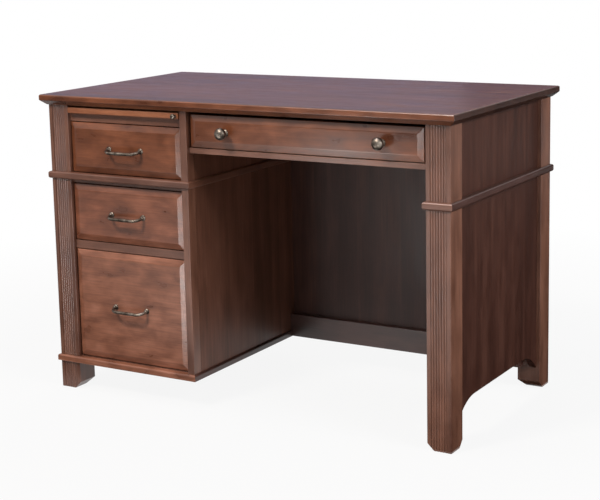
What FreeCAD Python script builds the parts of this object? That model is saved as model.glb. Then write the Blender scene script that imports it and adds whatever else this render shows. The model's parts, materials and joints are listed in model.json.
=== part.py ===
import FreeCAD, Part
import math
import os

# Kneehole desk with one pedestal, on the left as seen from the front.
# Millimetres, +Z up, front towards -Y, origin on the floor below the middle of the desk.

# Overall sizes
top_width = 1143.0
top_depth = 622.0
desk_height = 762.0
top_thickness = 26.0
top_overhang = 17.0
top_edge_round = 4.0
top_bevel_in = 14.0
top_bevel_up = 12.0

# Square corner posts, reeded on the outward front or back face
post_size = 60.0
reed_count = 6
reed_pitch = 6.5
reed_depth = 1.8
foot_chamfer = 17.0
post_ease = 1.5

# Panels of the carcass
panel_thickness = 19.0
panel_recess = 10.0
arch_height = 97.0
arch_run = 90.0
arch_drop = 43.0
pedestal_width = 419.0
pedestal_floor = 70.0
floor_thickness = 18.0
modesty_inset = 36.0
modesty_thickness = 12.0
modesty_rail_height = 61.0
modesty_rail_thickness = 20.0

# Face frame, measured down from the underside of the top. The stile is flush with the front of the posts and the
# rails lie back from it. The file drawer takes the height that the openings and rails above it leave.
frame_recess = 10.0
frame_thickness = 20.0
slide_opening = 20.0
slide_rail_height = 20.0
upper_opening = 130.0
waist_rail_height = 26.0
middle_opening = 148.0
lower_rail_height = 21.0
center_opening = 88.0
knee_rail_height = 13.0

# Mouldings planted on the carcass
waist_nose = 6.5
waist_height = 18.0
waist_round = 5.0
waist_lift = 0.5
base_nose = 6.0
base_height = 16.0
base_round = 4.5
base_foot_round = 1.5

# Raised-panel drawer fronts
front_gap = 2.0
front_thickness = 20.0
field_recess = 5.0
bevel_width = 16.0
bevel_depth = 5.0
center_side_gap = 6.5
center_top_gap = 7.0

# Drawer boxes behind the fronts
drawer_back_clearance = 77.0
center_back_clearance = 55.0
side_thickness = 12.0
bottom_thickness = 6.0
bottom_rise = 8.0
groove_depth = 5.0
box_lift = 12.0
box_headroom = 16.0

# Steel drawer slides
slide_width = 12.7
slide_height = 45.0
slide_wall = 1.2
slide_play = 0.4
slide_start = 2.0
slide_end_gap = 5.0
center_slide_end_gap = 8.0
slide_lift = 5.0
block_height = 60.0

# Pull-out writing slide
board_thickness = 15.5
board_back_clearance = 139.0
board_lip = 2.0
board_round = 3.0
board_play = 0.3
runner_width = 20.0
runner_height = 18.0
kicker_depth = 30.0

# Glue blocks that hold the top
glue_block = 20.0
glue_block_length = 60.0
glue_block_inset = 90.0

# Turned knobs of the centre drawer and the writing slide
knob_diameter = 30.0
knob_reach = 32.0
knob_base_diameter = 18.0
knob_base_height = 3.0
knob_base_taper = 3.0
knob_neck_diameter = 11.0
knob_neck_height = 14.0
knob_rim_height = 21.0
knob_spacing = 414.0
slide_knob_diameter = 14.0
slide_knob_reach = 15.0
slide_knob_neck = 7.0
slide_knob_neck_length = 5.0
slide_knob_inset = 8.0

# Arch pulls of the pedestal drawers
pull_centers = 96.0
pull_bar_diameter = 8.4
pull_flats = 12
pull_bend = 22.0
pull_tilt = 12.0
pull_foot_diameter = 13.0
pull_foot_height = 4.0

# Planes that the pieces share, worked out from the sizes above
top_under_z = desk_height - top_thickness
left_x = top_overhang - top_width / 2
right_x = top_width / 2 - top_overhang
post_depth = top_depth - 2 * top_overhang
pull_reach = pull_foot_height + pull_bend + pull_bar_diameter / 2
front_reach = max(top_overhang, knob_reach - field_recess, pull_reach - field_recess)
face_y = (front_reach - top_overhang - post_depth) / 2
back_y = face_y + post_depth
front_posts_back_y = face_y + post_size
back_posts_front_y = back_y - post_size
frame_y = face_y + frame_recess
frame_back_y = frame_y + frame_thickness
bay_left_x = left_x + post_size
knee_left_x = left_x + pedestal_width
bay_right_x = knee_left_x - panel_thickness
knee_right_x = right_x - post_size
left_panel_in_x = left_x + panel_recess + panel_thickness
right_panel_in_x = right_x - panel_recess - panel_thickness
back_panel_y = back_y - panel_recess - panel_thickness
modesty_y = back_posts_front_y - modesty_inset - modesty_thickness
floor_top_z = pedestal_floor + floor_thickness
slide_rail_top = top_under_z - slide_opening
slide_rail_bottom = slide_rail_top - slide_rail_height
waist_rail_top = slide_rail_bottom - upper_opening
waist_rail_bottom = waist_rail_top - waist_rail_height
lower_rail_top = waist_rail_bottom - middle_opening
lower_rail_bottom = lower_rail_top - lower_rail_height
knee_rail_top = top_under_z - center_opening
knee_rail_bottom = knee_rail_top - knee_rail_height
waist_bottom = waist_rail_top + waist_lift - waist_height
field_y = face_y + field_recess
front_back_y = field_y + front_thickness
box_depth = back_panel_y - front_back_y - drawer_back_clearance
center_box_depth = modesty_y - front_back_y - center_back_clearance
slide_y = front_back_y + slide_start
slide_length = box_depth - slide_start - slide_end_gap
center_slide_y = frame_back_y + slide_start
center_slide_length = front_back_y + center_box_depth - center_slide_end_gap - center_slide_y

pieces = {}


def vec(x, y, z):
    return FreeCAD.Vector(x, y, z)


def box(x0, x1, y0, y1, z0, z1):
    return Part.makeBox(x1 - x0, y1 - y0, z1 - z0, vec(x0, y0, z0))


def outline(points):
    """Closed wire: each entry is a corner, or (middle, end) for an arc from the corner before it."""
    edges = []
    here = points[0]
    for step in points[1:]:
        if isinstance(step, tuple):
            edges.append(Part.Arc(here, step[0], step[1]).toShape())
            here = step[1]
        else:
            edges.append(Part.LineSegment(here, step).toShape())
            here = step
    if here.distanceToPoint(points[0]) > 1e-6:
        edges.append(Part.LineSegment(here, points[0]).toShape())
    return Part.Wire(edges)


def prism(points, direction):
    return Part.Face(outline(points)).extrude(direction)


def quarter_round(corner, radius, come_from, leave_to):
    """Two entries for outline that round a square corner; the directions point away from the corner."""
    reach = radius * (1 - math.sqrt(0.5))
    middle = corner + (come_from + leave_to) * reach
    return [corner + come_from * radius, (middle, corner + leave_to * radius)]


# Desktop: the moulded edge is the meeting of one profile across the width and one across the depth.
def edge_profile(half, across):
    up = vec(0, 0, 1)
    bevel_z = top_under_z + top_bevel_up
    low = half - top_bevel_in

    def at(offset, z):
        return across * offset + up * z

    points = [at(-low, top_under_z), at(low, top_under_z), at(half, bevel_z)]
    points += quarter_round(at(half, desk_height), top_edge_round, -up, -across)
    points += quarter_round(at(-half, desk_height), top_edge_round, across, -up)
    points.append(at(-half, bevel_z))
    return points


def make_desktop():
    along_y = prism(edge_profile(top_width / 2, vec(1, 0, 0)), vec(0, top_depth, 0))
    along_y.translate(vec(0, -top_depth / 2, 0))
    along_x = prism(edge_profile(top_depth / 2, vec(0, 1, 0)), vec(top_width, 0, 0))
    along_x.translate(vec(-top_width / 2, 0, 0))
    top = along_y.common(along_x)
    top.translate(vec(0, (face_y + back_y) / 2, 0))
    return top


# Corner posts: one reeded section with eased corners, drawn for the front and turned about for the back.
def make_post(x0, y0, inner_side, faces_front):
    margin = (post_size - reed_count * reed_pitch) / 2
    inward = 1 if faces_front else -1
    x1 = x0 + post_size
    y_face = y0 if faces_front else y0 + post_size
    y_far = y_face + inward * post_size
    groove_y = y_face + inward * reed_depth
    across = vec(1, 0, 0)
    deep = vec(0, inward, 0)
    points = quarter_round(vec(x0, y_far, 0), post_ease, across, -deep)
    points += quarter_round(vec(x0, y_face, 0), post_ease, deep, across)
    points += [vec(x0 + margin, y_face, 0), vec(x0 + margin, groove_y, 0)]
    for i in range(reed_count):
        start = x0 + margin + i * reed_pitch
        crest = vec(start + reed_pitch / 2, y_face, 0)
        points.append((crest, vec(start + reed_pitch, groove_y, 0)))
    points.append(vec(x1 - margin, y_face, 0))
    points += quarter_round(vec(x1, y_face, 0), post_ease, -across, deep)
    points += quarter_round(vec(x1, y_far, 0), post_ease, -deep, -across)
    post = prism(points, vec(0, 0, top_under_z))
    x_in = x1 if inner_side > 0 else x0
    side_cut = prism(
        [vec(x_in, y0, 0), vec(x_in - inner_side * foot_chamfer, y0, 0), vec(x_in, y0, foot_chamfer)],
        vec(0, post_size, 0),
    )
    end_cut = prism(
        [vec(x0, y_far, 0), vec(x0, y_far - inward * foot_chamfer, 0), vec(x0, y_far, foot_chamfer)],
        vec(post_size, 0, 0),
    )
    return post.cut(side_cut).cut(end_cut)


def make_posts():
    pieces["post_front_left"] = make_post(left_x, face_y, 1, True)
    pieces["post_front_right"] = make_post(knee_right_x, face_y, -1, True)
    pieces["post_back_left"] = make_post(left_x, back_posts_front_y, 1, False)
    pieces["post_back_right"] = make_post(knee_right_x, back_posts_front_y, -1, False)


# Panels between the posts
def make_right_panel():
    radius = (arch_run ** 2 + arch_drop ** 2) / (2 * arch_drop)
    half_angle = math.atan2(arch_drop, arch_run)
    low_z = arch_height - arch_drop
    front, back = front_posts_back_y, back_posts_front_y
    reach = arch_run - radius * math.sin(half_angle)
    middle_z = arch_height - radius * (1 - math.cos(half_angle))
    x = right_panel_in_x
    points = [
        vec(x, front, top_under_z),
        vec(x, front, low_z),
        (vec(x, front + reach, middle_z), vec(x, front + arch_run, arch_height)),
        vec(x, back - arch_run, arch_height),
        (vec(x, back - reach, middle_z), vec(x, back, low_z)),
        vec(x, back, top_under_z),
    ]
    return prism(points, vec(panel_thickness, 0, 0))


def make_panels():
    end_x = left_x + panel_recess
    pieces["left_end_panel"] = box(
        end_x, left_panel_in_x, front_posts_back_y, back_posts_front_y, pedestal_floor, top_under_z
    )
    pieces["right_end_panel"] = make_right_panel()
    back_face_y = back_panel_y + panel_thickness
    pieces["pedestal_inner_panel"] = box(
        bay_right_x, knee_left_x, frame_back_y, back_face_y, pedestal_floor, top_under_z
    )
    pieces["pedestal_back_panel"] = box(
        bay_left_x, bay_right_x, back_panel_y, back_face_y, pedestal_floor, top_under_z
    )
    board = box(left_panel_in_x, bay_right_x, frame_y, back_panel_y, pedestal_floor, floor_top_z)
    for y0 in (face_y, back_posts_front_y):
        board = board.cut(box(left_x, bay_left_x, y0, y0 + post_size, 0, top_under_z))
    pieces["pedestal_bottom_board"] = board
    pieces["modesty_panel"] = box(
        knee_left_x,
        right_panel_in_x,
        modesty_y,
        modesty_y + modesty_thickness,
        pedestal_floor,
        top_under_z,
    )
    pieces["modesty_rail"] = box(
        knee_left_x,
        right_panel_in_x,
        modesty_y - modesty_rail_thickness,
        modesty_y,
        pedestal_floor,
        pedestal_floor + modesty_rail_height,
    )


# Face frame of the pedestal and the rail over the kneehole
def make_face_frame():
    pieces["pedestal_stile"] = box(
        bay_right_x, knee_left_x, face_y, frame_back_y, pedestal_floor, top_under_z
    )
    rails = {
        "rail_below_slide": (slide_rail_bottom, slide_rail_top),
        "rail_waist": (waist_rail_bottom, waist_rail_top),
        "rail_lower": (lower_rail_bottom, lower_rail_top),
    }
    for name, (z0, z1) in rails.items():
        pieces[name] = box(bay_left_x, bay_right_x, frame_y, frame_back_y, z0, z1)
    pieces["kneehole_rail"] = box(
        knee_left_x, knee_right_x, frame_y, frame_back_y, knee_rail_bottom, knee_rail_top
    )


# Mouldings: a nosed strip stands proud of the posts, backed by a strip where the carcass lies further in.
def nosing(start, along, outward, length, nose, height, low_round, high_round):
    up = vec(0, 0, 1)
    tip = start + outward * nose
    points = [start]
    points += quarter_round(tip, low_round, -outward, up)
    points += quarter_round(tip + up * height, high_round, -up, -outward)
    points.append(start + up * height)
    return prism(points, along * length)


def mitre(strip, corner_x, corner_y, away_x, away_y):
    """Cuts a strip at an upright 45 degree plane through a corner and drops the waste side."""
    size = 2 * max(top_width, desk_height)
    waste = Part.makeBox(size, size, size, vec(0, -size / 2, -size / 2))
    waste.rotate(vec(0, 0, 0), vec(0, 0, 1), math.degrees(math.atan2(away_y, away_x)))
    waste.translate(vec(corner_x, corner_y, 0))
    return strip.cut(waste)


def strip_along_x(y, facing, x0, x1, z0, section):
    start = vec(x0, y, z0)
    return nosing(start, vec(1, 0, 0), vec(0, facing, 0), x1 - x0, *section)


def strip_along_y(x, facing, y0, y1, z0, section):
    start = vec(x, y0, z0)
    return nosing(start, vec(0, 1, 0), vec(facing, 0, 0), y1 - y0, *section)


def pedestal_front_strip(z0, section):
    nose, height = section[0], section[1]
    strip = strip_along_x(face_y, -1, left_x - nose, knee_left_x + nose, z0, section)
    strip = mitre(strip, left_x, face_y, -1, 1)
    strip = mitre(strip, knee_left_x, face_y, 1, 1)
    backing = box(bay_left_x, bay_right_x, face_y, frame_y, z0, z0 + height)
    return strip.fuse(backing).removeSplitter()


def end_strip(x, facing, z0, section):
    nose, height = section[0], section[1]
    strip = strip_along_y(x, facing, face_y - nose, back_y + nose, z0, section)
    strip = mitre(strip, x, face_y, -facing, -1)
    strip = mitre(strip, x, back_y, -facing, 1)
    sunk = x - facing * panel_recess
    backing = box(min(x, sunk), max(x, sunk), front_posts_back_y, back_posts_front_y, z0, z0 + height)
    return strip.fuse(backing).removeSplitter()


def kneehole_strip(y_end, z0, section):
    strip = strip_along_y(knee_left_x, 1, face_y - section[0], y_end, z0, section)
    return mitre(strip, knee_left_x, face_y, -1, -1)


def right_post_strips(z0, section):
    nose = section[0]
    front = strip_along_x(face_y, -1, knee_right_x - nose, right_x + nose, z0, section)
    front = mitre(front, knee_right_x, face_y, -1, 1)
    front = mitre(front, right_x, face_y, 1, 1)
    inner = strip_along_y(knee_right_x, -1, face_y - nose, front_posts_back_y, z0, section)
    inner = mitre(inner, knee_right_x, face_y, 1, -1)
    return Part.makeCompound([front, inner])


def pedestal_back_strip(z0, section):
    nose, height = section[0], section[1]
    strip = strip_along_x(back_y, 1, left_x - nose, knee_left_x, z0, section)
    strip = mitre(strip, left_x, back_y, -1, -1)
    backing = box(bay_left_x, knee_left_x, back_y - panel_recess, back_y, z0, z0 + height)
    return strip.fuse(backing).removeSplitter()


def right_back_strip(z0, section):
    strip = strip_along_x(back_y, 1, knee_right_x, right_x + section[0], z0, section)
    return mitre(strip, right_x, back_y, 1, -1)


def make_mouldings():
    waist = (waist_nose, waist_height, waist_round, waist_round)
    base = (base_nose, base_height, base_foot_round, base_round)
    pieces["waist_moulding_front"] = pedestal_front_strip(waist_bottom, waist)
    pieces["waist_moulding_left"] = end_strip(left_x, -1, waist_bottom, waist)
    pieces["waist_moulding_kneehole"] = kneehole_strip(modesty_y, waist_bottom, waist)
    pieces["waist_moulding_right_post"] = right_post_strips(waist_bottom, waist)
    pieces["waist_moulding_right"] = end_strip(right_x, 1, waist_bottom, waist)
    waist_back = [pedestal_back_strip(waist_bottom, waist), right_back_strip(waist_bottom, waist)]
    pieces["waist_moulding_back"] = Part.makeCompound(waist_back)
    pieces["base_moulding_front"] = pedestal_front_strip(pedestal_floor, base)
    pieces["base_moulding_left"] = end_strip(left_x, -1, pedestal_floor, base)
    pieces["base_moulding_back"] = pedestal_back_strip(pedestal_floor, base)
    rail_front_y = modesty_y - modesty_rail_thickness
    pieces["base_moulding_kneehole"] = kneehole_strip(rail_front_y, pedestal_floor, base)


# Steel slides: three channels that nest in one another, drawn from the mounting face towards the drawer.
def channel(mount_x, toward, web, flange_end, half_height, y0, length, z):
    def at(across, height):
        return vec(mount_x + toward * across, y0, z + height)

    inner_web = web + slide_wall if flange_end > web else web - slide_wall
    inner_half = half_height - slide_wall
    points = [
        at(web, -half_height),
        at(flange_end, -half_height),
        at(flange_end, -inner_half),
        at(inner_web, -inner_half),
        at(inner_web, inner_half),
        at(flange_end, inner_half),
        at(flange_end, half_height),
        at(web, half_height),
    ]
    return prism(points, vec(0, length, 0))


def fixed_channel(mount_x, toward, y0, length, z):
    lip = slide_width - slide_wall - slide_play
    return channel(mount_x, toward, 0, lip, slide_height / 2, y0, length, z)


def middle_channel(mount_x, toward, y0, length, z):
    step = slide_wall + slide_play
    return channel(mount_x, toward, step, slide_width - step, slide_height / 2 - step, y0, length, z)


def drawer_channel(mount_x, toward, y0, length, z, nested_in):
    step = slide_wall + slide_play
    half = slide_height / 2 - nested_in * step
    return channel(mount_x, toward, slide_width, nested_in * step, half, y0, length, z)


# Drawers
def raised_front(x0, x1, z0, z1):
    edge_y = field_y + bevel_depth
    low_x, high_x = x0 + bevel_width, x1 - bevel_width
    low_z, high_z = z0 + bevel_width, z1 - bevel_width
    raised = Part.makeWedge(low_x, field_y, low_z, z0, x0, high_x, edge_y, high_z, z1, x1)
    slab = box(x0, x1, edge_y, front_back_y, z0, z1)
    return slab.fuse(raised).removeSplitter()


def drawer_box(name, x0, x1, z0, z1, depth):
    y0, y1 = front_back_y, front_back_y + depth
    bottom_z = z0 + bottom_rise
    bottom_top = bottom_z + bottom_thickness
    in0, in1 = x0 + side_thickness, x1 - side_thickness
    bottom = box(in0 - groove_depth, in1 + groove_depth, y0, y1, bottom_z, bottom_top)
    left = box(x0, in0, y0, y1, z0, z1).cut(bottom)
    right = box(in1, x1, y0, y1, z0, z1).cut(bottom)
    pieces[name + "_sides"] = Part.makeCompound([left, right])
    pieces[name + "_back"] = box(in0, in1, y1 - side_thickness, y1, bottom_top, z1)
    pieces[name + "_bottom"] = bottom


def knob_profile(radius, reach, base_radius, base_height, neck_radius, neck_height, rim_height):
    rise = reach - rim_height
    dome = (radius ** 2 + rise ** 2) / (2 * rise)
    half_angle = math.atan2(rise, radius)
    crown = vec(dome * math.sin(half_angle), reach - dome * (1 - math.cos(half_angle)), 0)
    return [
        vec(0, 0, 0),
        vec(base_radius, 0, 0),
        vec(base_radius, base_height, 0),
        vec(neck_radius, base_height + knob_base_taper, 0),
        vec(neck_radius, neck_height, 0),
        vec(radius, rim_height, 0),
        (crown, vec(0, reach, 0)),
    ]


def turned_knob(points, x, y, z):
    knob = Part.Face(outline(points)).revolve(vec(0, 0, 0), vec(0, 1, 0), 360)
    knob.rotate(vec(0, 0, 0), vec(0, 0, 1), 180)
    knob.translate(vec(x, y, z))
    return knob


def flat_sided_disc(diameter, center, first, second):
    """Face with the pull's number of flats round a center, in the plane of the two directions."""
    corners = []
    for i in range(pull_flats):
        angle = 2 * math.pi * i / pull_flats
        outward = first * math.cos(angle) + second * math.sin(angle)
        corners.append(center + outward * (diameter / 2))
    return Part.Face(Part.makePolygon(corners + corners[:1]))


# Arch pull: a bar with a quarter bend at each end, on two collars that are cut off at the drawer front.
# The whole pull is tilted, so that its middle hangs a little low.
def arch_pull(x, z):
    half = pull_centers / 2
    grip_half = half - pull_bend
    foot_sink = pull_foot_diameter / 2 * math.tan(math.radians(pull_tilt))
    up = vec(0, 0, 1)
    grip_end = vec(-grip_half, -pull_foot_height - pull_bend, 0)
    grip_section = flat_sided_disc(pull_bar_diameter, grip_end, vec(0, -1, 0), up)
    pull = grip_section.extrude(vec(2 * grip_half, 0, 0))
    for side in (-1, 1):
        across = vec(side, 0, 0)
        collar_top = vec(side * half, -pull_foot_height, 0)
        bend_center = vec(side * grip_half, -pull_foot_height, 0)
        bar_end = flat_sided_disc(pull_bar_diameter, collar_top, across, up)
        bend = bar_end.revolve(bend_center, vec(0, 0, -side), 90)
        collar_end = flat_sided_disc(pull_foot_diameter, collar_top, across, up)
        collar = collar_end.extrude(vec(0, pull_foot_height + foot_sink, 0))
        pull = pull.fuse([bend, collar])
    pull.rotate(vec(0, 0, 0), vec(1, 0, 0), pull_tilt)
    behind = box(-pull_centers, pull_centers, 0, pull_centers, -pull_centers, pull_centers)
    pull = pull.cut(behind)
    pull.translate(vec(x, field_y, z))
    return pull


def make_pedestal_drawers():
    fronts = {
        "upper_drawer": (waist_rail_top, slide_rail_bottom),
        "middle_drawer": (lower_rail_top, waist_rail_bottom),
        "file_drawer": (floor_top_z, lower_rail_bottom),
    }
    x0, x1 = bay_left_x + front_gap, bay_right_x - front_gap
    fixed, blocks = [], []
    for name, (low, high) in fronts.items():
        z0, z1 = low + front_gap, high - front_gap
        box_z = z0 + box_lift
        slide_z = box_z + slide_lift + slide_height / 2
        pieces[name + "_front"] = raised_front(x0, x1, z0, z1)
        pieces[name + "_pull"] = arch_pull((x0 + x1) / 2, (z0 + z1) / 2)
        box_x0, box_x1 = bay_left_x + slide_width, bay_right_x - slide_width
        drawer_box(name, box_x0, box_x1, box_z, z1 - box_headroom, box_depth)
        mounts = ((bay_left_x, 1), (bay_right_x, -1))
        inner = [drawer_channel(x, side, slide_y, slide_length, slide_z, 2) for x, side in mounts]
        middle = [middle_channel(x, side, slide_y, slide_length, slide_z) for x, side in mounts]
        fixed += [fixed_channel(x, side, slide_y, slide_length, slide_z) for x, side in mounts]
        pieces[name + "_slide_members"] = Part.makeCompound(inner)
        pieces[name + "_slide_middles"] = Part.makeCompound(middle)
        half_block = block_height / 2
        blocks.append(
            box(
                left_panel_in_x,
                bay_left_x,
                front_posts_back_y,
                back_posts_front_y,
                slide_z - half_block,
                slide_z + half_block,
            )
        )
    return fixed, blocks


def make_center_drawer():
    x0, x1 = knee_left_x + center_side_gap, knee_right_x - center_side_gap
    z0, z1 = knee_rail_top + front_gap, top_under_z - center_top_gap
    box_z = z0 + box_lift
    slide_z = box_z + slide_lift + slide_height / 2
    pieces["center_drawer_front"] = raised_front(x0, x1, z0, z1)
    drawer_box(
        "center_drawer",
        knee_left_x + slide_width,
        knee_right_x - slide_width,
        box_z,
        z1 - box_headroom,
        center_box_depth,
    )
    points = knob_profile(
        knob_diameter / 2,
        knob_reach,
        knob_base_diameter / 2,
        knob_base_height,
        knob_neck_diameter / 2,
        knob_neck_height,
        knob_rim_height,
    )
    middle = (x0 + x1) / 2
    knob_z = (z0 + z1) / 2
    half_spacing = knob_spacing / 2
    knobs = [turned_knob(points, middle + side * half_spacing, field_y, knob_z) for side in (-1, 1)]
    pieces["center_drawer_knobs"] = Part.makeCompound(knobs)
    mounts = ((knee_left_x, 1), (knee_right_x, -1))
    inner = [drawer_channel(x, side, center_slide_y, center_slide_length, slide_z, 1) for x, side in mounts]
    pieces["center_drawer_slide_members"] = Part.makeCompound(inner)
    fixed = [fixed_channel(x, side, center_slide_y, center_slide_length, slide_z) for x, side in mounts]
    hanger_z = slide_z - block_height / 2
    hanger = box(
        knee_right_x, right_panel_in_x, front_posts_back_y, modesty_y, hanger_z, top_under_z
    )
    return fixed, [hanger]


def make_writing_slide():
    x0, x1 = bay_left_x + front_gap, bay_right_x - front_gap
    z0 = slide_rail_top + board_play
    z1 = z0 + board_thickness
    front_y = face_y - board_lip
    back_edge_y = back_panel_y - board_back_clearance
    up, deep = vec(0, 0, 1), vec(0, 1, 0)
    section = [vec(x0, back_edge_y, z0)]
    section += quarter_round(vec(x0, front_y, z0), board_round, deep, up)
    section += quarter_round(vec(x0, front_y, z1), board_round, -up, deep)
    section.append(vec(x0, back_edge_y, z1))
    pieces["writing_slide_board"] = prism(section, vec(x1 - x0, 0, 0))
    radius = slide_knob_diameter / 2
    points = [
        vec(0, 0, 0),
        vec(slide_knob_neck / 2, 0, 0),
        vec(slide_knob_neck / 2, slide_knob_neck_length, 0),
        vec(radius, slide_knob_neck_length, 0),
        vec(radius, slide_knob_reach, 0),
        vec(0, slide_knob_reach, 0),
    ]
    knob_x = x1 - slide_knob_inset
    pieces["writing_slide_knob"] = turned_knob(points, knob_x, front_y, (z0 + z1) / 2)
    runner_z = slide_rail_top - runner_height
    left = box(
        left_panel_in_x,
        bay_left_x + runner_width,
        front_posts_back_y,
        back_posts_front_y,
        runner_z,
        slide_rail_top,
    )
    right = box(
        bay_right_x - runner_width,
        bay_right_x,
        frame_back_y,
        back_posts_front_y,
        runner_z,
        slide_rail_top,
    )
    kicker = box(
        bay_left_x,
        bay_right_x,
        frame_back_y,
        frame_back_y + kicker_depth,
        z1 + board_play,
        top_under_z,
    )
    pieces["writing_slide_guides"] = Part.makeCompound([left, right, kicker])


def make_top_fixings():
    def glue_strip(x, y, facing):
        points = [
            vec(x, y, top_under_z),
            vec(x, y + facing * glue_block, top_under_z),
            vec(x, y, top_under_z - glue_block),
        ]
        return prism(points, vec(glue_block_length, 0, 0))

    modesty_back_y = modesty_y + modesty_thickness
    spans = (
        (bay_left_x, bay_right_x, back_panel_y, -1),
        (knee_left_x, right_panel_in_x, modesty_back_y, 1),
    )
    strips = []
    for x0, x1, y, facing in spans:
        strips.append(glue_strip(x0 + glue_block_inset, y, facing))
        strips.append(glue_strip(x1 - glue_block_inset - glue_block_length, y, facing))
    pieces["top_glue_blocks"] = Part.makeCompound(strips)


pieces["desktop"] = make_desktop()
make_posts()
make_panels()
make_face_frame()
make_mouldings()
pedestal_fixed, pedestal_blocks = make_pedestal_drawers()
center_fixed, center_blocks = make_center_drawer()
pieces["slide_channels_fixed"] = Part.makeCompound(pedestal_fixed + center_fixed)
pieces["slide_mounting_blocks"] = Part.makeCompound(pedestal_blocks + center_blocks)
make_writing_slide()
make_top_fixings()

os.makedirs("parts", exist_ok=True)
for name, shape in pieces.items():
    shape.exportStep(os.path.join("parts", name + ".step"))
print(len(pieces), "pieces written")
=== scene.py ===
import json
import math

import bpy
from mathutils import Matrix, Vector


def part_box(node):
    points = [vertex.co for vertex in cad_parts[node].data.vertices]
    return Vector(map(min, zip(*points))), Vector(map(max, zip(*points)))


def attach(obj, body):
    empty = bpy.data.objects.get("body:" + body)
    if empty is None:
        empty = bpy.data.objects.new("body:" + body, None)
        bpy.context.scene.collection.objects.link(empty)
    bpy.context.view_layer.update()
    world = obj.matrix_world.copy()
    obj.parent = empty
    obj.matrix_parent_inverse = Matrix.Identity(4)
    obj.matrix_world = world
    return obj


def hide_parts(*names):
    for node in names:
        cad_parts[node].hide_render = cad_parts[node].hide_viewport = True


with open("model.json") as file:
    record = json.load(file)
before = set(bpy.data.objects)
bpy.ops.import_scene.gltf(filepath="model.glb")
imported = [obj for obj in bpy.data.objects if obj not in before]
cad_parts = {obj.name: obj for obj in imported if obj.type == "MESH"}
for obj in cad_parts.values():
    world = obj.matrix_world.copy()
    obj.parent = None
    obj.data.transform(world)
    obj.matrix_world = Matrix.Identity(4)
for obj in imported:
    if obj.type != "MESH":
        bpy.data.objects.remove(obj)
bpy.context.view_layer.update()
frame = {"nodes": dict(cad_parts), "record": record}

nodes = frame["nodes"]
bodyOfNode = {}
for bodyName, members in frame["record"]["behaviour"]["bodies"].items():
    for member in members:
        bodyOfNode[member] = bodyName
slotOfNode = {part["node"]: part["material_slot"] for part in frame["record"]["subparts"]}
mm = 0.001  # the frame is in metres


# small helpers
def linear(hexColour):
    # sRGB hex to the linear colour that the shader takes
    channels = [int(hexColour[i:i + 2], 16) / 255 for i in (1, 3, 5)]
    bent = [c / 12.92 if c <= 0.04045 else ((c + 0.055) / 1.055) ** 2.4 for c in channels]
    return (*bent, 1.0)


def addNode(tree, kind, sockets=None, **settings):
    node = tree.nodes.new(kind)
    for key, value in settings.items():
        setattr(node, key, value)
    for socket, value in (sockets or {}).items():
        if isinstance(value, bpy.types.NodeSocket):
            tree.links.new(value, node.inputs[socket])
        else:
            node.inputs[socket].default_value = value
    return node


def newMaterial(name):
    material = bpy.data.materials.new(name)
    material.use_nodes = True
    material.node_tree.nodes.clear()
    return material, material.node_tree


def setRamp(ramp, stops):
    elements = ramp.color_ramp.elements
    while len(elements) < len(stops):
        elements.new(0.5)
    for element, (place, hexColour) in zip(elements, stops):
        element.position = place
        element.color = linear(hexColour)


def perMetre(sizeInMm):
    # pattern scale from the real size of one feature
    return 1000 / sizeInMm


def selectOnly(thing):
    bpy.ops.object.select_all(action="DESELECT")
    thing.select_set(True)
    bpy.context.view_layer.objects.active = thing


def standIn(piece, nodeName):
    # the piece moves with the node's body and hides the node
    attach(piece, bodyOfNode[nodeName])
    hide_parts(nodeName)


# turns that lay the pattern's X axis along the grain
grainTurn = {
    "x": (0, 0, 0),
    "y": (0, 0, math.radians(-90)),
    "z": (0, math.radians(90), 0),
}


# Cherry, planed and sanded, brown wiping stain under satin lacquer: soft broad figure, stain that takes
# unevenly, fine dark pores along the grain and a low even sheen. Wide pieces are glued up from boards.
stainLook = {
    "figureWidth": 38,               # mm across one band of figure
    "figureStretch": 0.08,           # bands run twelve times as long as they are wide
    "blotchSize": 36,                # mm, patches where the stain took more or less
    "blotchStretch": 0.45,
    "toneStops": (0.36, 0.5, 0.64),  # where the dark, middle and light tones sit
    "noiseRange": (0.3, 0.7),        # the part of 0 to 1 that a noise really fills
    "fibreWidth": 3.0,               # mm, drawn coarser than real fibres so that they show
    "fibreStretch": 0.03,
    "fibreShade": (0.84, 1.14),      # the darkest and the lightest fibre, as a share of the tone
    "fibreDepth": 0.00012,           # m, grain that telegraphs through the lacquer
    "fibreBump": 0.35,
    "poreWidth": 1.1,                # mm, drawn coarser than real pores so that they show
    "poreStretch": 0.05,
    "poreRange": (0.62, 0.72),       # only the peaks of the noise are pores
    "poreShade": 0.84,
    "sheenSwing": (-0.05, 0.06),     # roughness where the stain is dark and where it is light
    "lacquerRoughness": 0.22,
    "boardShift": 3.7,               # m, how far along the grain the next board's figure is taken from
    "boardTone": 0.16,               # how much lighter or darker one board is than the next
}
woodIor = 1.5


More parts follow.
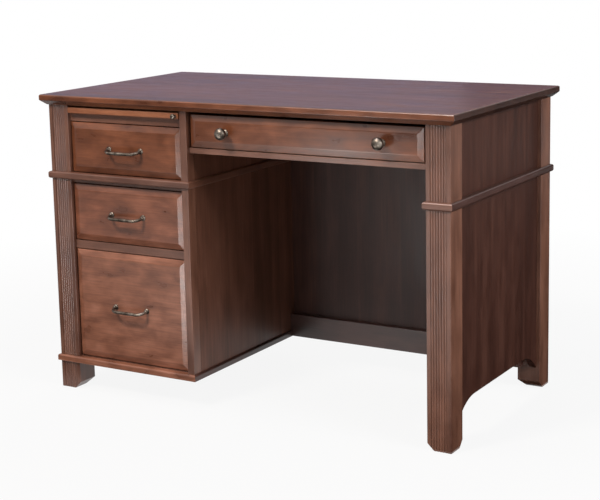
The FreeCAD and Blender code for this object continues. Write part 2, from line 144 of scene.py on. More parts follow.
def stainedCherry(name, grain, dark, middle, light, roughness, lacquer, patchy=0.4, gloss=0.5,
                  boardWidth=None):
    look = stainLook
    material, tree = newMaterial(name)
    place = addNode(tree, "ShaderNodeTexCoord").outputs["Object"]
    turned = addNode(tree, "ShaderNodeMapping", {"Vector": place, "Rotation": grainTurn[grain]})
    along = turned.outputs["Vector"]
    if boardWidth:
        # each board gets a number by chance, which slides its figure along and shifts its tone
        parts = addNode(tree, "ShaderNodeSeparateXYZ", {0: along})
        across = addNode(tree, "ShaderNodeMath", {0: parts.outputs[1], 1: parts.outputs[2]}, operation="ADD")
        counted = addNode(tree, "ShaderNodeMath", {0: across.outputs[0], 1: perMetre(boardWidth)},
                          operation="MULTIPLY")
        board = addNode(tree, "ShaderNodeMath", {0: counted.outputs[0]}, operation="FLOOR")
        drawn = addNode(tree, "ShaderNodeTexWhiteNoise", {"W": board.outputs[0]}, noise_dimensions="1D")
        chance = drawn.outputs["Value"]
        slide = addNode(tree, "ShaderNodeMath", {0: chance, 1: look["boardShift"]}, operation="MULTIPLY")
        slid = addNode(tree, "ShaderNodeCombineXYZ", {0: slide.outputs[0]})
        moved = addNode(tree, "ShaderNodeVectorMath", {0: along, 1: slid.outputs[0]}, operation="ADD")
        along = moved.outputs[0]

    def streaks(width, stretch, detail, distortion):
        stretched = addNode(tree, "ShaderNodeVectorMath", {0: along, 1: (stretch, 1, 1)},
                            operation="MULTIPLY")
        return addNode(tree, "ShaderNodeTexNoise", {
            "Vector": stretched.outputs[0], "Scale": perMetre(width),
            "Detail": detail, "Distortion": distortion,
        }).outputs["Fac"]

    figure = streaks(look["figureWidth"], look["figureStretch"], detail=4, distortion=0.5)
    blotch = streaks(look["blotchSize"], look["blotchStretch"], detail=3, distortion=0.3)
    fibre = streaks(look["fibreWidth"], look["fibreStretch"], detail=3, distortion=0.2)
    pores = streaks(look["poreWidth"], look["poreStretch"], detail=1, distortion=0)

    patches = addNode(tree, "ShaderNodeMath", {0: blotch, 1: patchy}, operation="MULTIPLY")
    tone = addNode(tree, "ShaderNodeMath", {0: figure, 1: 1 - patchy, 2: patches.outputs[0]},
                   operation="MULTIPLY_ADD")
    if boardWidth:
        shifted = addNode(tree, "ShaderNodeMath", {0: chance, 1: -0.5}, operation="ADD")
        tone = addNode(tree, "ShaderNodeMath", {
            0: shifted.outputs[0], 1: look["boardTone"], 2: tone.outputs[0],
        }, operation="MULTIPLY_ADD")
    tones = addNode(tree, "ShaderNodeValToRGB", {"Fac": tone.outputs[0]})
    setRamp(tones, list(zip(look["toneStops"], (dark, middle, light))))

    noiseLow, noiseHigh = look["noiseRange"]
    fibreDark, fibreLight = look["fibreShade"]
    fibreTone = addNode(tree, "ShaderNodeMapRange", {
        "Value": fibre, "From Min": noiseLow, "From Max": noiseHigh,
        "To Min": fibreDark, "To Max": fibreLight,
    })
    fibred = addNode(tree, "ShaderNodeVectorMath", {0: tones.outputs["Color"], 1: fibreTone.outputs[0]},
                     operation="MULTIPLY")
    poreFrom, poreFull = look["poreRange"]
    poreTone = addNode(tree, "ShaderNodeMapRange", {
        "Value": pores, "From Min": poreFrom, "From Max": poreFull,
        "To Min": 1.0, "To Max": look["poreShade"],
    })
    pored = addNode(tree, "ShaderNodeVectorMath", {0: fibred.outputs[0], 1: poreTone.outputs[0]},
                    operation="MULTIPLY")
    glossier, duller = look["sheenSwing"]
    sheen = addNode(tree, "ShaderNodeMapRange", {
        "Value": blotch, "From Min": noiseLow, "From Max": noiseHigh,
        "To Min": roughness + glossier, "To Max": roughness + duller,
    })
    bump = addNode(tree, "ShaderNodeBump", {
        "Height": fibre, "Strength": look["fibreBump"], "Distance": look["fibreDepth"],
    })
    shader = addNode(tree, "ShaderNodeBsdfPrincipled", {
        "Base Color": pored.outputs[0], "Roughness": sheen.outputs[0], "Normal": bump.outputs[0],
        "IOR": woodIor, "Specular IOR Level": gloss,
        "Coat Weight": lacquer, "Coat Roughness": look["lacquerRoughness"],
    })
    addNode(tree, "ShaderNodeOutputMaterial", {"Surface": shader.outputs[0]})
    return material


# one finish for each kind of surface
caseFinish = dict(roughness=0.36, lacquer=0.15)
veneerFinish = dict(roughness=0.42, lacquer=0.05, patchy=0.3, gloss=0.25, boardWidth=128)
frontFinish = dict(roughness=0.31, lacquer=0.15, patchy=0.7)
caseTones = dict(dark="#533327", middle="#684435", light="#7a5241", **caseFinish)
# painted shade: a darker copy of the case tones for the right waist moulding, the kneehole base moulding and
# the modesty rail, which stand in shade away from the key light
shadedCaseTones = dict(dark="#35211b", middle="#3f2822", light="#4a302a", **caseFinish)
panelTones = dict(dark="#543629", middle="#623f31", light="#704a3b", **veneerFinish)
# a darker copy of the veneer tones: darker veneer on both end panels, which on the right end also paints the
# shade away from the key light, and painted shade on the modesty panel at the back of the kneehole
veneerDarkAndShadedTones = dict(dark="#382019", middle="#42271f", light="#4c2f26", **veneerFinish)
frontTones = dict(dark="#5e3625", middle="#774732", light="#8b563f", **frontFinish)
# painted shade and painted light: a darker copy of the front tones for the fronts in the shade under the top,
# and a lighter copy for the lowest front pieces, where more light falls near the floor
shadedFrontTones = dict(dark="#512b19", middle="#683a22", light="#7d482c", **frontFinish)
litFrontTones = dict(dark="#6b4231", middle="#855540", light="#99654f", **frontFinish)
# painted light: a lighter copy of the front tones for the writing slide, whose front edge is painted as
# brightly lit just under the top
litSlideTones = dict(dark="#6f3f26", middle="#895234", light="#9c6242", roughness=0.35, lacquer=0.15, patchy=0.5)
topTones = dict(dark="#402419", middle="#4d2c20", light="#5a3627", roughness=0.33, lacquer=0.15, patchy=0.25,
                boardWidth=104)
endGrainTones = dict(dark="#2c1a15", middle="#35201a", light="#3e2720", roughness=0.4, lacquer=0.1)
stains = {
    "caseX": stainedCherry("cherry_stained_lengthwise", "x", **caseTones),
    "caseY": stainedCherry("cherry_stained_depthwise", "y", **caseTones),
    "caseZ": stainedCherry("cherry_stained_upright", "z", **caseTones),
    "panelZ": stainedCherry("cherry_stained_veneer", "z", **panelTones),
    "veneerDarkAndShadedZ": stainedCherry("cherry_stained_veneer_dark_and_painted_shade", "z", **veneerDarkAndShadedTones),
    "slideLitX": stainedCherry("cherry_stained_painted_light", "x", **litSlideTones),
    "caseShadedX": stainedCherry("cherry_stained_painted_shade_lengthwise", "x", **shadedCaseTones),
    "caseShadedY": stainedCherry("cherry_stained_painted_shade_depthwise", "y", **shadedCaseTones),
    "front": stainedCherry("cherry_stained_figured", "x", **frontTones),
    "frontShaded": stainedCherry("cherry_stained_figured_painted_shade", "x", **shadedFrontTones),
    "frontLit": stainedCherry("cherry_stained_figured_painted_light", "x", **litFrontTones),
    "top": stainedCherry("cherry_stained_top", "x", **topTones),
    "endGrain": stainedCherry("cherry_stained_end_grain", "x", **endGrainTones),
}
print("stains mixed:", len(stains))


# Hard maple, planed, clear lacquer: pale even wood with faint darker streaks from front to back.
mapleLook = {
    "streakWidth": 12, "fibreWidth": 2,  # mm
    "stretch": 0.05,                     # streaks run twenty times as long as they are wide
    "tones": [(0.35, "#c29a6f"), (0.55, "#d0ac80"), (0.7, "#dab98f")],
    "roughness": (0.34, 0.5), "bump": 0.2, "bumpDepth": 0.0001,  # depth in m
}


def clearMaple():
    look = mapleLook
    material, tree = newMaterial("hard_maple_lacquered")
    place = addNode(tree, "ShaderNodeTexCoord").outputs["Object"]
    along = addNode(tree, "ShaderNodeMapping", {"Vector": place, "Scale": (1, look["stretch"], 1)}).outputs[0]
    streak = addNode(tree, "ShaderNodeTexNoise", {
        "Vector": along, "Scale": perMetre(look["streakWidth"]), "Detail": 4,
    }).outputs["Fac"]
    fibre = addNode(tree, "ShaderNodeTexNoise", {
        "Vector": along, "Scale": perMetre(look["fibreWidth"]), "Detail": 2,
    }).outputs["Fac"]
    tones = addNode(tree, "ShaderNodeValToRGB", {"Fac": streak})
    setRamp(tones, look["tones"])
    smooth, rough = look["roughness"]
    sheen = addNode(tree, "ShaderNodeMapRange", {"Value": fibre, "To Min": smooth, "To Max": rough})
    bump = addNode(tree, "ShaderNodeBump", {
        "Height": fibre, "Strength": look["bump"], "Distance": look["bumpDepth"],
    })
    shader = addNode(tree, "ShaderNodeBsdfPrincipled", {
        "Base Color": tones.outputs["Color"], "Roughness": sheen.outputs[0], "Normal": bump.outputs[0],
        "IOR": woodIor,
    })
    addNode(tree, "ShaderNodeOutputMaterial", {"Surface": shader.outputs[0]})
    return material


# Zinc-plated steel strip, rolled: grey metal with faint lines along the strip and a bluish tone.
zincLook = {
    "lineWidth": 1.5,  # mm, drawn coarser than real rolling lines so that they show
    "stretch": 0.02,
    "tones": [(0.3, "#9a9da3"), (0.7, "#bcc0c6")],
    "roughness": (0.24, 0.44),
}


def zincSteel():
    look = zincLook
    material, tree = newMaterial("steel_zinc_plated")
    place = addNode(tree, "ShaderNodeTexCoord").outputs["Object"]
    along = addNode(tree, "ShaderNodeMapping", {"Vector": place, "Scale": (1, look["stretch"], 1)}).outputs[0]
    lines = addNode(tree, "ShaderNodeTexNoise", {
        "Vector": along, "Scale": perMetre(look["lineWidth"]), "Detail": 3,
    }).outputs["Fac"]
    tones = addNode(tree, "ShaderNodeValToRGB", {"Fac": lines})
    setRamp(tones, look["tones"])
    smooth, rough = look["roughness"]
    sheen = addNode(tree, "ShaderNodeMapRange", {"Value": lines, "To Min": smooth, "To Max": rough})
    shader = addNode(tree, "ShaderNodeBsdfPrincipled", {
        "Base Color": tones.outputs["Color"], "Roughness": sheen.outputs[0], "Metallic": 1.0,
    })
    addNode(tree, "ShaderNodeOutputMaterial", {"Surface": shader.outputs[0]})
    return material


# Cast bronze, patinated dark and rubbed back: dull grey-brown metal, paler and smoother where it was rubbed.
bronzeLook = {
    "patchSize": 14, "gritSize": 1.2,  # mm
    "tones": [(0.35, "#433c36"), (0.52, "#665d54"), (0.7, "#988e83")],
    "roughness": (0.44, 0.3), "bump": 0.15, "bumpDepth": 0.0001,  # depth in m
}


def antiqueBronze():
    look = bronzeLook
    material, tree = newMaterial("bronze_antiqued")
    place = addNode(tree, "ShaderNodeTexCoord").outputs["Object"]
    patina = addNode(tree, "ShaderNodeTexNoise", {
        "Vector": place, "Scale": perMetre(look["patchSize"]), "Detail": 3,
    }).outputs["Fac"]
    grit = addNode(tree, "ShaderNodeTexNoise", {
        "Vector": place, "Scale": perMetre(look["gritSize"]), "Detail": 2,
    }).outputs["Fac"]
    tones = addNode(tree, "ShaderNodeValToRGB", {"Fac": patina})
    setRamp(tones, look["tones"])
    rough, rubbed = look["roughness"]
    sheen = addNode(tree, "ShaderNodeMapRange", {"Value": patina, "To Min": rough, "To Max": rubbed})
    bump = addNode(tree, "ShaderNodeBump", {
        "Height": grit, "Strength": look["bump"], "Distance": look["bumpDepth"],
    })
    shader = addNode(tree, "ShaderNodeBsdfPrincipled", {
        "Base Color": tones.outputs["Color"], "Roughness": sheen.outputs[0], "Normal": bump.outputs[0],
        "Metallic": 1.0,
    })
    addNode(tree, "ShaderNodeOutputMaterial", {"Surface": shader.outputs[0]})
    return material


maple = clearMaple()
zinc = zincSteel()
bronze = antiqueBronze()
print("maple, zinc and bronze mixed")

# The stain on each piece, which also settles the way its grain runs. A front that isn't named here takes
# "front", and any other stained piece takes "caseX".
stainOf = {
    "desktop": "top",
    # the end panels take the darker veneer, which paints shade on the right end; the modesty panel takes it
    # as painted shade in the kneehole
    "left_end_panel": "veneerDarkAndShadedZ", "right_end_panel": "veneerDarkAndShadedZ", "modesty_panel": "veneerDarkAndShadedZ",
    "pedestal_inner_panel": "panelZ", "pedestal_back_panel": "panelZ", "pedestal_stile": "caseZ",
    "post_front_left": "caseZ", "post_front_right": "caseZ",
    "post_back_left": "caseZ", "post_back_right": "caseZ",
    # painted shade: the right waist moulding takes the darker copy of the case stain
    "waist_moulding_left": "caseY", "waist_moulding_right": "caseShadedY", "waist_moulding_kneehole": "caseY",
    # painted shade on the kneehole base moulding, painted light on the front base moulding near the floor
    "base_moulding_left": "caseY", "base_moulding_kneehole": "caseShadedY", "base_moulding_front": "frontLit",
    # painted shade on the modesty rail; the writing slide takes the lighter, painted-light copy of the front
    # stain
    "modesty_rail": "caseShadedX", "writing_slide_board": "slideLitX",
    # painted shade on the upper and centre drawer fronts under the top, painted light on the file drawer
    # front below
    "upper_drawer_front": "frontShaded", "center_drawer_front": "frontShaded", "file_drawer_front": "frontLit",
}


def finishOf(nodeName):
    slotName = slotOfNode[nodeName]
    if slotName == "drawer_maple":
        return maple
    if slotName == "slide_steel":
        return zinc
    if slotName == "antique_bronze":
        return bronze
    plain = "front" if slotName == "stained_fronts" else "caseX"
    return stains[stainOf.get(nodeName, plain)]


for nodeName, node in nodes.items():
    node.data.materials.clear()
    node.data.materials.append(finishOf(nodeName))
print("finishes on", len(nodes), "nodes")


# Pieces with arrises eased by sanding: a copy of the solid, merged, with a small round on its sharp edges.
easeLook = {
    "sharpFrom": 32,       # degrees at which an edge counts as sharp
    "frontSharpFrom": 10,  # the bevel round a drawer front is shallow
    "segments": 3,
    "mergeWithin": 0.01,   # mm
    "flatWithin": 0.5,     # degrees, faces this near to one plane become one
}
easing = {  # width of the round in mm
    "desktop": 1.2,
    "upper_drawer_front": 1.4, "middle_drawer_front": 1.4,
    "file_drawer_front": 1.4, "center_drawer_front": 1.4,
    "rail_below_slide": 0.8, "rail_waist": 0.8, "rail_lower": 0.8,
    "kneehole_rail": 0.8, "pedestal_stile": 0.8,
    "modesty_rail": 1.0, "right_end_panel": 0.8,
    "upper_drawer_sides": 1.5, "middle_drawer_sides": 1.5,
    "file_drawer_sides": 1.5, "center_drawer_sides": 1.5,
    "upper_drawer_back": 1.2, "middle_drawer_back": 1.2,
    "file_drawer_back": 1.2, "center_drawer_back": 1.2,
}
# The top's long edges take the darker, painted-shade copy of the front stain, more orange than the top's own
# stain, and its end grain drank more stain. Faces whose normal rises or falls less than flatFrom are edges.
edgeFinish = {"desktop": {"longEdge": "frontShaded", "endEdge": "endGrain", "flatFrom": 0.8}}


def finishEdges(piece, longEdge, endEdge, flatFrom):
    piece.data.materials.append(stains[longEdge])
    piece.data.materials.append(stains[endEdge])
    for face in piece.data.polygons:
        if abs(face.normal.z) < flatFrom:
            face.material_index = 2 if abs(face.normal.x) > abs(face.normal.y) else 1


def easeEdges(nodeName, width):
    piece = bpy.data.objects.new(nodeName + "_eased", nodes[nodeName].data.copy())
    bpy.context.scene.collection.objects.link(piece)
    isFront = slotOfNode[nodeName] == "stained_fronts"
    sharp = math.radians(easeLook["frontSharpFrom" if isFront else "sharpFrom"])
    selectOnly(piece)
    bpy.ops.object.mode_set(mode="EDIT")
    bpy.ops.mesh.select_all(action="SELECT")
    bpy.ops.mesh.customdata_custom_splitnormals_clear()
    bpy.ops.mesh.remove_doubles(threshold=easeLook["mergeWithin"] * mm)
    bpy.ops.mesh.normals_make_consistent(inside=False)
    bpy.ops.mesh.dissolve_limited(angle_limit=math.radians(easeLook["flatWithin"]))
    bpy.ops.object.mode_set(mode="OBJECT")
    ease = piece.modifiers.new("ease", "BEVEL")
    ease.width = width * mm
    ease.segments = easeLook["segments"]
    ease.limit_method = "ANGLE"
    ease.angle_limit = sharp
    ease.harden_normals = True
    bpy.ops.object.shade_smooth_by_angle(angle=sharp)
    bpy.ops.object.modifier_apply(modifier="ease")
    if nodeName in edgeFinish:
        finishEdges(piece, **edgeFinish[nodeName])
    standIn(piece, nodeName)


for nodeName, width in easing.items():
    easeEdges(nodeName, width)
print("edges eased on", len(easing), "pieces")


# Smooth hardware in place of the flat-sided solids, in mm. A profile or foot lists its rings from the front
# outwards, each as its radius and how far out it is.
pullLook = {
    "spacing": 96, "reach": 29.5, "bend": 20, "barRadius": 3.7,
    "swell": 1.14,        # how much thicker the grip is in the middle
    "droop": 12,          # degrees
    "feetBelowTop": 6.5,  # from the top of the solid pull to the middle of its feet
    "barSides": 20, "bendSteps": 10, "gripSteps": 6, "footSides": 24,
    "foot": [(7.4, 0), (7.4, 1.2), (6.6, 2.2), (5.0, 3.0), (4.5, 5.0), (4.2, 8.0)],
}
knobLook = {
    "profile": [(9.0, 0), (9.0, 1.4), (8.2, 2.6), (6.2, 3.6), (5.2, 6.0), (5.0, 9.0), (6.3, 11.6),
                (10.4, 13.6), (13.6, 16.6), (15.0, 20.6), (14.4, 24.6), (12.0, 28.0), (8.0, 30.6),
                (4.0, 31.7)],
    "sides": 32,
}
slideKnobLook = {
    "profile": [(4.0, 0), (4.0, 1.0), (2.9, 2.0), (2.7, 4.6), (4.4, 6.2), (6.4, 8.4), (7.0, 10.6),
                (6.2, 13.0), (3.8, 14.6)],
    "sides": 20,
}
turnedLook = {
    "capInset": 0.5,  # share of the last ring's radius
    "smoothLevels": 1, "smoothAngle": 40,
}


def turnOnFront(name, spot, profile, sides):
    # a turned piece standing out from a front: a ring at the front, drawn out and resized step by step
    x, y, z = spot
    radius, out = profile[0]
    bpy.ops.object.select_all(action="DESELECT")
    bpy.ops.mesh.primitive_circle_add(vertices=sides, radius=radius * mm, fill_type="NOTHING",
                                      location=(x, y - out * mm, z), rotation=(math.radians(90), 0, 0))
    piece = bpy.context.object
    piece.name = name
    bpy.ops.object.transform_apply(location=True, rotation=True, scale=True)
    bpy.ops.object.mode_set(mode="EDIT")
    bpy.ops.mesh.select_all(action="SELECT")
    for nextRadius, nextOut in profile[1:]:
        bpy.ops.mesh.extrude_region_move(TRANSFORM_OT_translate={"value": (0, (out - nextOut) * mm, 0)})
        grow = nextRadius / radius
        bpy.ops.transform.resize(value=(grow, 1, grow), center_override=(x, y - nextOut * mm, z))
        radius, out = nextRadius, nextOut
    bpy.ops.mesh.edge_face_add()
    bpy.ops.mesh.inset(thickness=radius * turnedLook["capInset"] * mm)
    bpy.ops.mesh.select_all(action="SELECT")
    bpy.ops.mesh.normals_make_consistent(inside=False)
    bpy.ops.object.mode_set(mode="OBJECT")
    return piece


def smoothOver(piece):
    selectOnly(piece)
    smooth = piece.modifiers.new("smooth", "SUBSURF")
    smooth.levels = turnedLook["smoothLevels"]
    smooth.render_levels = turnedLook["smoothLevels"]
    bpy.ops.object.modifier_apply(modifier="smooth")
    bpy.ops.object.shade_smooth_by_angle(angle=math.radians(turnedLook["smoothAngle"]))


def dress(piece, nodeName, material):
    piece.data.materials.clear()
    piece.data.materials.append(material)
    standIn(piece, nodeName)


def archPull(name, spot):
    # the bar is a ring drawn out from the left foot, spun round the bends and tilted down on its feet
    x, y, z = spot
    look = pullLook
    half = look["spacing"] / 2 * mm
    bend = look["bend"] * mm
    straight = look["reach"] * mm - bend - look["barRadius"] * mm
    bpy.ops.object.select_all(action="DESELECT")
    bpy.ops.mesh.primitive_circle_add(vertices=look["barSides"], radius=look["barRadius"] * mm,
                                      fill_type="NOTHING", location=(x - half, y, z),
                                      rotation=(math.radians(90), 0, 0))
    bar = bpy.context.object
    bar.name = name
    bpy.ops.object.transform_apply(location=True, rotation=True, scale=True)
    bpy.ops.object.mode_set(mode="EDIT")
    bpy.ops.mesh.select_all(action="SELECT")
    bpy.ops.mesh.extrude_region_move(TRANSFORM_OT_translate={"value": (0, -straight, 0)})
    bpy.ops.mesh.spin(steps=look["bendSteps"], angle=math.radians(-90),
                      center=(x - half + bend, y - straight, z), axis=(0, 0, 1))
    gripSteps = look["gripSteps"]
    gripStep = (2 * half - 2 * bend) / gripSteps
    swells = [1 + (look["swell"] - 1) * math.sin(math.pi * k / gripSteps) for k in range(gripSteps + 1)]
    for k in range(gripSteps):
        bpy.ops.mesh.extrude_region_move(TRANSFORM_OT_translate={"value": (gripStep, 0, 0)})
        grow = swells[k + 1] / swells[k]
        gripAt = (x - half + bend + (k + 1) * gripStep, y - straight - bend, z)
        bpy.ops.transform.resize(value=(1, grow, grow), center_override=gripAt)
    bpy.ops.mesh.spin(steps=look["bendSteps"], angle=math.radians(-90),
                      center=(x + half - bend, y - straight, z), axis=(0, 0, 1))
    bpy.ops.mesh.extrude_region_move(TRANSFORM_OT_translate={"value": (0, straight, 0)})
    bpy.ops.mesh.select_all(action="SELECT")
    bpy.ops.mesh.normals_make_consistent(inside=False)
    bpy.ops.transform.rotate(value=math.radians(-look["droop"]), orient_axis="X", center_override=(x, y, z))
    bpy.ops.object.mode_set(mode="OBJECT")
    footSpots = [(x + side * half, y, z) for side in (-1, 1)]
    feet = [turnOnFront(name + "_foot", footSpot, look["foot"], look["footSides"]) for footSpot in footSpots]
    selectOnly(bar)
    for foot in feet:
        foot.select_set(True)
    bpy.ops.object.join()
    smoothOver(bar)
    return bar


def copyAt(piece, name, move):
    twin = bpy.data.objects.new(name, piece.data.copy())
    bpy.context.scene.collection.objects.link(twin)
    twin.data.transform(Matrix.Translation(move))
    return twin


def pullSpot(nodeName):
    low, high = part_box(nodeName)
    return Vector(((low.x + high.x) / 2, high.y, high.z - pullLook["feetBelowTop"] * mm))


upperSpot = pullSpot("upper_drawer_pull")
upperPull = archPull("upper_drawer_pull_smooth", upperSpot)
dress(upperPull, "upper_drawer_pull", bronze)
for drawer in ("middle", "file"):
    pullName = drawer + "_drawer_pull"
    dress(copyAt(upperPull, pullName + "_smooth", pullSpot(pullName) - upperSpot), pullName, bronze)

low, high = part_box("center_drawer_knobs")
knobReach = max(ring[0] for ring in knobLook["profile"]) * mm
leftKnobSpot = (low.x + knobReach, high.y, (low.z + high.z) / 2)
knobs = turnOnFront("center_drawer_knobs_turned", leftKnobSpot, knobLook["profile"], knobLook["sides"])
bpy.ops.object.mode_set(mode="EDIT")
bpy.ops.mesh.select_all(action="SELECT")
bpy.ops.mesh.duplicate_move(TRANSFORM_OT_translate={"value": (high.x - low.x - 2 * knobReach, 0, 0)})
bpy.ops.object.mode_set(mode="OBJECT")
smoothOver(knobs)
dress(knobs, "center_drawer_knobs", bronze)

low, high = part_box("writing_slide_knob")
slideKnobSpot = ((low.x + high.x) / 2, high.y, (low.z + high.z) / 2)
slideKnob = turnOnFront("writing_slide_knob_turned", slideKnobSpot,
                        slideKnobLook["profile"], slideKnobLook["sides"])
smoothOver(slideKnob)
dress(slideKnob, "writing_slide_knob", bronze)
print("hardware turned and bent")


# Floor and light: a white sweep, a softbox high in front on the left, broad fills on the right and behind
# that nothing mirrors, and a small lamp overhead. Sheets that only reflections see stand round the desk and
# paint reflections: dark ones paint dark reflections that keep the panels deep, grey-blue ones paint the
# top's sheen, and glowing ones, which are no lamps, paint highlights on the bevels and the hardware.
studio = {
    "floorSize": 40.0, "floorColour": "#b0b0b0", "ambient": 0.26, "aimHeight": 0.4,
    "glowNear": 0.9, "glowFar": 1.0,   # how white the floor looks near the desk and away from it
    "glowStart": 0.9, "glowEnd": 2.2,  # m from the middle of the desk
}
# where each sheet's middle is, how it is turned in degrees, its size in metres, its colour and its glow
# None of these sheets is a real object: each paints a reflection. The dark ones paint dark reflections in the
# panels, fronts and bevels; the grey-blue ones behind paint the top's sheen; the glowing ones, which are no
# lamps, paint highlights: the one high on the right on the hardware, the strips low in front on the right
# bevels of the drawer fronts.
cards = {
    "card_right": dict(spot=(1.35, 1.6, 0.004), size=(2.3, 4.2), colour="#0c0c0c"),
    "card_far_right": dict(spot=(2.5, 4.2, 1.1), turn=(90, 0, -30), size=(3.8, 2.2), colour="#1c1819"),
    "card_behind": dict(spot=(-2.7, 2.95, 1.3), turn=(90, 0, 31), size=(3.4, 2.6), colour="#9a9dc0"),
    "card_behind_right": dict(spot=(-0.1, 4.5, 1.3), turn=(90, 0, 31), size=(2.7, 2.6), colour="#565a7e"),
    "highlight_glow_card": dict(spot=(2.9, -1.54, 1.86), turn=(66, 0, 62), size=(1.2, 1.2), glow=4.0),
    "card_front": dict(spot=(-1.0, -4.9, 0.004), size=(9.0, 4.4), colour="#2a2828"),
    "card_left": dict(spot=(-2.87, -1.45, 0.004), turn=(0, 0, 25), size=(4.4, 1.0), colour="#141414"),
    "card_front_wall": dict(spot=(-1.6, -7.0, 1.2), turn=(90, 0, -8), size=(10.0, 2.4), colour="#2a2828"),
    "card_strip": dict(spot=(-0.28, -1.3, 0.24), turn=(90, 0, 0), size=(0.16, 0.48), glow=14.0),
    "card_strip_low": dict(spot=(-0.19, -0.95, 0.1), turn=(90, 0, 0), size=(0.18, 0.2), glow=11.0),
    "card_strip_right": dict(spot=(0.62, -1.9, 0.44), turn=(90, 0, 18), size=(0.3, 0.36), glow=12.0),
    "card_near": dict(spot=(-0.2, -0.55, 0.004), size=(1.8, 0.4), colour="#141414"),
}
# azimuth from straight ahead of the desk (right is positive), elevation, distance, side of the square, watts
lamps = {
    "key": dict(azimuth=-18, elevation=48, distance=4.4, side=0.8, power=158, tint="#fff6ee"),
    "right": dict(azimuth=77, elevation=28, distance=4.0, side=1.4, power=104, mirrored=False),
    "behind": dict(azimuth=196, elevation=26, distance=5.0, side=2.0, power=80, mirrored=False),
    "overhead": dict(azimuth=-35, elevation=76, distance=3.0, side=0.8, power=24, tint="#f2eefc"),
}


def seenDirectly(tree):
    # 1 where the eye or a reflection meets the backdrop, 0 where the backdrop only lights the desk
    path = addNode(tree, "ShaderNodeLightPath").outputs
    indirect = addNode(tree, "ShaderNodeMath", {0: path["Is Glossy Ray"], 1: path["Is Transmission Ray"]},
                       operation="MAXIMUM")
    return addNode(tree, "ShaderNodeMath", {0: path["Is Camera Ray"], 1: indirect.outputs[0]},
                   operation="MAXIMUM").outputs[0]


# Seamless studio paper, matt: an even white that keeps the desk's shadow.
def makeFloor():
    bpy.ops.object.select_all(action="DESELECT")
    bpy.ops.mesh.primitive_plane_add(size=studio["floorSize"], location=(0, 0, 0))
    floor = bpy.context.object
    floor.name = "floor"
    material, tree = newMaterial("paper_sweep_white")
    place = addNode(tree, "ShaderNodeTexCoord").outputs["Object"]
    away = addNode(tree, "ShaderNodeVectorMath", {0: place}, operation="LENGTH").outputs["Value"]
    whiter = addNode(tree, "ShaderNodeMapRange", {
        "Value": away, "From Min": studio["glowStart"], "From Max": studio["glowEnd"],
        "To Min": studio["glowNear"], "To Max": studio["glowFar"],
    })
    glow = addNode(tree, "ShaderNodeMath", {0: seenDirectly(tree), 1: whiter.outputs[0]},
                   operation="MULTIPLY")
    white = addNode(tree, "ShaderNodeEmission", {"Color": linear("#ffffff"), "Strength": 1.0})
    paper = addNode(tree, "ShaderNodeBsdfDiffuse", {"Color": linear(studio["floorColour"])})
    mixed = addNode(tree, "ShaderNodeMixShader", {
        0: glow.outputs[0], 1: paper.outputs[0], 2: white.outputs[0],
    })
    addNode(tree, "ShaderNodeOutputMaterial", {"Surface": mixed.outputs[0]})
    floor.data.materials.append(material)


# A sheet that only reflections see, so it paints a reflection: a matt one paints its own colour into them,
# a glowing one, which is no lamp, paints a highlight.
def makeCard(name, spot, size, turn=(0, 0, 0), colour="#ffffff", glow=0.0):
    bpy.ops.object.select_all(action="DESELECT")
    bpy.ops.mesh.primitive_plane_add(size=1, location=spot, rotation=[math.radians(angle) for angle in turn])
    card = bpy.context.object
    card.name = name
    card.scale = (*size, 1)
    material, tree = newMaterial("paper_" + name)
    shader = addNode(tree, "ShaderNodeBsdfPrincipled", {
        "Base Color": linear(colour), "Roughness": 1.0, "Specular IOR Level": 0.0,
        "Emission Color": linear(colour), "Emission Strength": glow,
    })
    addNode(tree, "ShaderNodeOutputMaterial", {"Surface": shader.outputs[0]})
    card.data.materials.append(material)
    card.visible_camera = False
    card.visible_diffuse = False
    card.visible_shadow = False


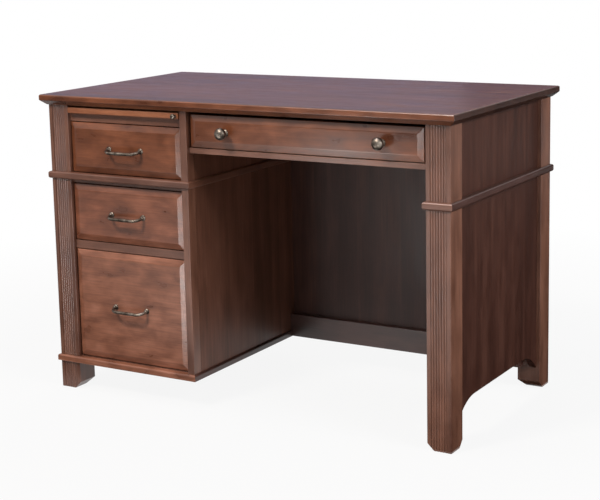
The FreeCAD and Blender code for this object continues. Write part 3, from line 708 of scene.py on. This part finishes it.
def makeLamp(name, azimuth, elevation, distance, side, power, tint="#ffffff", mirrored=True):
    lamp = bpy.data.lights.new(name, "AREA")
    lamp.shape = "SQUARE"
    lamp.size = side
    lamp.energy = power
    lamp.color = linear(tint)[:3]
    light = bpy.data.objects.new(name, lamp)
    light.visible_glossy = mirrored
    bpy.context.scene.collection.objects.link(light)
    turn, rise = math.radians(azimuth), math.radians(elevation)
    middle = Vector((0, 0, studio["aimHeight"]))
    aim = Vector((math.sin(turn) * math.cos(rise), -math.cos(turn) * math.cos(rise), math.sin(rise)))
    light.location = middle + aim * distance
    light.rotation_euler = (-aim).to_track_quat("-Z", "Y").to_euler()


def makeWorld():
    world = bpy.data.worlds.new("white_studio")
    bpy.context.scene.world = world
    world.use_nodes = True
    tree = world.node_tree
    tree.nodes.clear()
    strength = addNode(tree, "ShaderNodeMapRange", {"Value": seenDirectly(tree), "To Min": studio["ambient"]})
    sky = addNode(tree, "ShaderNodeBackground", {"Color": linear("#ffffff"), "Strength": strength.outputs[0]})
    addNode(tree, "ShaderNodeOutputWorld", {"Surface": sky.outputs[0]})


makeFloor()
for cardName, cardSettings in cards.items():
    makeCard(cardName, **cardSettings)
for lampName, lampSettings in lamps.items():
    makeLamp(lampName, **lampSettings)
makeWorld()
bpy.context.scene.view_settings.view_transform = "Standard"
print("studio lit")

# Camera at the photograph's viewpoint, in the frame's metres and degrees, for an image of 600 x 500
viewpoint = {
    "spot": (1.8695, -3.126, 1.155), "turn": 30.82, "tilt": 10.05, "roll": -1.23,
    "focalPixels": 1468, "imageWidth": 600, "sensorWidth": 36, "shiftY": -0.10,  # sensor in mm
}


def makeCamera():
    lens = bpy.data.cameras.new("photo_view")
    lens.sensor_width = viewpoint["sensorWidth"]
    lens.lens = viewpoint["focalPixels"] / viewpoint["imageWidth"] * lens.sensor_width
    lens.shift_y = viewpoint["shiftY"]
    camera = bpy.data.objects.new("photo_view", lens)
    bpy.context.scene.collection.objects.link(camera)
    turn = Matrix.Rotation(math.radians(viewpoint["turn"]), 4, "Z")
    tilt = Matrix.Rotation(math.radians(90 - viewpoint["tilt"]), 4, "X")
    roll = Matrix.Rotation(math.radians(viewpoint["roll"]), 4, "Z")
    camera.matrix_world = Matrix.Translation(viewpoint["spot"]) @ turn @ tilt @ roll
    bpy.context.scene.camera = camera


makeCamera()
print("camera set")
